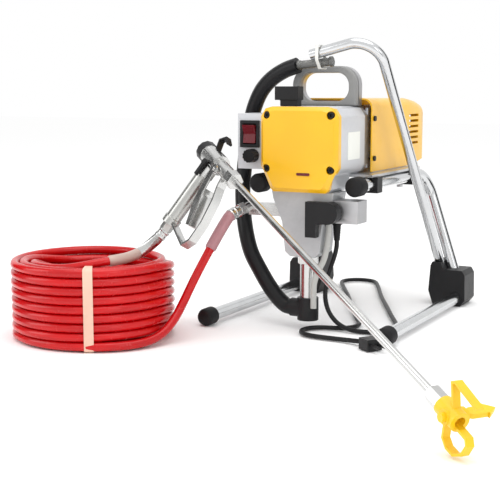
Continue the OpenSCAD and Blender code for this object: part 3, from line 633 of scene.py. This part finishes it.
# %% Sleeves and ferrules
def along_hose(start, end, count=24):
    """The stretch of the hose's path between two distances in millimetres; negative counts back."""
    run = np.r_[0, np.cumsum(np.linalg.norm(np.diff(even, axis=0), axis=1))]
    start, end = (d if d >= 0 else run[-1] + d for d in (start, end))
    at = np.linspace(start, end, count)
    return place(np.stack([np.interp(at, run, even[:, k]) for k in range(3)], axis=1))


def sleeve(name, start, end, radius, finish, count=24):
    piece = bar(name, along_hose(start, end, count), radius, 24)
    dress(piece, finish)
    return piece


finishes["pump_sleeve"] = coated("pump_sleeve", (0.42, 0.20, 0.22), 0.34, 900, 0.00003, 0.1, 0.1)
finishes["gun_sleeve"] = coated("gun_sleeve", (0.50, 0.36, 0.31), 0.30, 900, 0.00003, 0.1, 0.1)
taper = np.full(24, 8.4)
taper[0], taper[-1] = 7.8, 7.2
pump_sleeve = sleeve("pump_sleeve", 9, 74, taper * MM, "pump_sleeve")
pump_ferrule = sleeve("pump_ferrule", 0, 12, np.interp(np.arange(12), [0, 1, 4, 5, 8, 9, 11],
                      [8.6, 9.3, 9.3, 8.7, 8.7, 9.3, 9.0]) * MM, "polished_steel", 12)
gun_sleeve = sleeve("gun_sleeve", -128, -62, taper[::-1] * 0.92 * MM, "gun_sleeve")
gun_spring = sleeve("gun_spring", -66, -10, (8.0 + 0.35 * np.sin(np.arange(180) * np.pi / 2)) * MM,
                    "polished_steel", 180)
gun_ferrule = sleeve("gun_ferrule", -14, -0.01, np.interp(np.arange(12), [0, 1, 4, 5, 8, 9, 11],
                     [8.2, 8.9, 8.9, 8.3, 8.3, 9.2, 9.0]) * MM, "polished_steel", 12)
print("sleeves made")

# %% Strap round the coil
def strap_round_coil():
    """A rounded rectangle about the coil's section, carried round the coil's axis for 7 degrees."""
    inside, outside = COIL_RADIUS - COLUMNS * PITCH - 1.0, COIL_RADIUS + 1.0
    low, high = 0.3, COIL_TOP
    corner = np.radians(np.arange(0, 91, 15))
    section = np.vstack([
        np.stack([x + 5 * np.cos(corner + q), z + 5 * np.sin(corner + q)], 1)
        for x, z, q in ((outside - 5, high - 5, 0), (inside + 5, high - 5, np.pi / 2),
                        (inside + 5, low + 5, np.pi), (outside - 5, low + 5, 1.5 * np.pi))])
    middle = section.mean(0)
    inner_line = section + (middle - section) / np.linalg.norm(middle - section, axis=1)[:, None] * 0.9
    angles = np.radians(np.linspace(-61, -54.6, 9))
    sheets = [np.stack([COIL[0] + ring[:, 0][None] * np.cos(angles)[:, None],
                        COIL[1] + ring[:, 0][None] * np.sin(angles)[:, None],
                        np.broadcast_to(ring[:, 1], (9, len(ring)))], -1)
              for ring in (section, inner_line)]
    n = len(section)
    rows = np.concatenate([sheets[0], sheets[1][::-1]])
    i, j = np.meshgrid(np.arange(18), np.arange(n), indexing="ij")
    k, m = (j + 1) % n, (i + 1) % 18
    faces = np.stack([i * n + j, m * n + j, m * n + k, i * n + k], -1).reshape(-1, 4)
    return rows, faces.tolist()


rows, faces = strap_round_coil()
band = make_piece("coil_strap", place(rows), faces, "stand", 40)
dress(band, "tie_tape")
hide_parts("coil_tie")

# %% Strain relief and drain tube
ribs = np.arange(33)
z = 137 + 28 * ribs / 32
radius = np.where(ribs < 27, 4.2 + 1.9 * ribs / 32 + 0.35 * (ribs % 4 < 2), 8.0)
relief = bar("strain_relief", place(np.stack([np.full(33, 44.0), np.full(33, 60.0), z], 1)),
             radius * MM, 24)
dress(relief, "black_rubber")
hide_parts("cord_gland")
drain = bar("drain_tube_round", place(smooth([[38.5, 42, 165], [38.5, 42, 152], [36.5, 42, 132],
            [32, 41, 110], [26, 33, 92], [22.5, 28, 76], [22, 27, 58], [22, 27, 38]], 6)),
            4.5 * MM, 20)
dress(drain, "clear_tube")
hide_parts("drain_tube")
print("small soft parts made")

# %% [markdown]
# ## Floor and light
# A plain pale floor runs out to a pale sky. A large soft lamp overhead, a wide one from the left
# and a weaker one from the right give the soft, nearly shadowless light of a catalogue picture.

# %% Floor
turn = math.radians(28)
floor_mesh = bpy.data.meshes.new("floor")
floor_mesh.from_pydata([(-9, -9, 0), (9, -9, 0), (9, 9, 0), (-9, 9, 0)], [], [(0, 1, 2, 3)])
floor = bpy.data.objects.new("floor", floor_mesh)
floor_mesh.transform(Matrix.Translation((0, 0, -0.0006)))
bpy.context.scene.collection.objects.link(floor)
floor_finish = Finish("floor", Roughness=1.0, Specular_IOR_Level=0.0)
floor_finish.shader.inputs["Base Color"].default_value = (0.985, 0.985, 0.985, 1)
floor.data.materials.append(floor_finish.material)


# %% Lamps
def lamp(name, at, size, power, target=(0, 0, 0.15)):
    light = bpy.data.lights.new(name, "AREA")
    light.shape, light.size, light.energy = "DISK", size, power
    made = bpy.data.objects.new(name, light)
    made.location = at
    made.rotation_euler = (Vector(target) - Vector(at)).to_track_quat("-Z", "Y").to_euler()
    bpy.context.scene.collection.objects.link(made)


def dark_card(name, aside, back, width, height):
    """A tall dark card out of the picture. Only mirrors see it, so bright metal gets dark edges."""
    across = np.array([math.cos(turn), math.sin(turn), 0.0])
    away = np.array([-math.sin(turn), math.cos(turn), 0.0])
    middle = across * aside + away * back
    corners = [middle + away * width * i + np.array([0, 0, height * j + 0.02])
               for i, j in ((-0.5, 0), (0.5, 0), (0.5, 1), (-0.5, 1))]
    mesh = bpy.data.meshes.new(name)
    mesh.from_pydata([tuple(c) for c in corners], [], [(0, 1, 2, 3)])
    card = bpy.data.objects.new(name, mesh)
    finish = Finish(name, Roughness=1.0)
    finish.shader.inputs["Base Color"].default_value = (0.01, 0.01, 0.01, 1)
    mesh.materials.append(finish.material)
    card.visible_camera = card.visible_diffuse = card.visible_shadow = False
    bpy.context.scene.collection.objects.link(card)


dark_card("left_card", -0.95, 0.35, 0.5, 1.3)
dark_card("right_card", 0.95, 0.35, 0.5, 1.3)
dark_card("near_card", 0.75, -0.9, 0.3, 1.0)

lamp("overhead", (0.1, -0.3, 2.3), 2.2, 22)
lamp("left", (-2.0, -1.2, 1.2), 1.6, 12)
lamp("right", (1.9, -0.9, 1.0), 1.2, 6)
world = bpy.data.worlds.new("room")
world.use_nodes = True
world.node_tree.nodes["Background"].inputs["Color"].default_value = (1, 1, 1, 1)
world.node_tree.nodes["Background"].inputs["Strength"].default_value = 1.0
bpy.context.scene.world = world
bpy.context.scene.view_settings.view_transform = "Standard"
print("floor and lamps set")
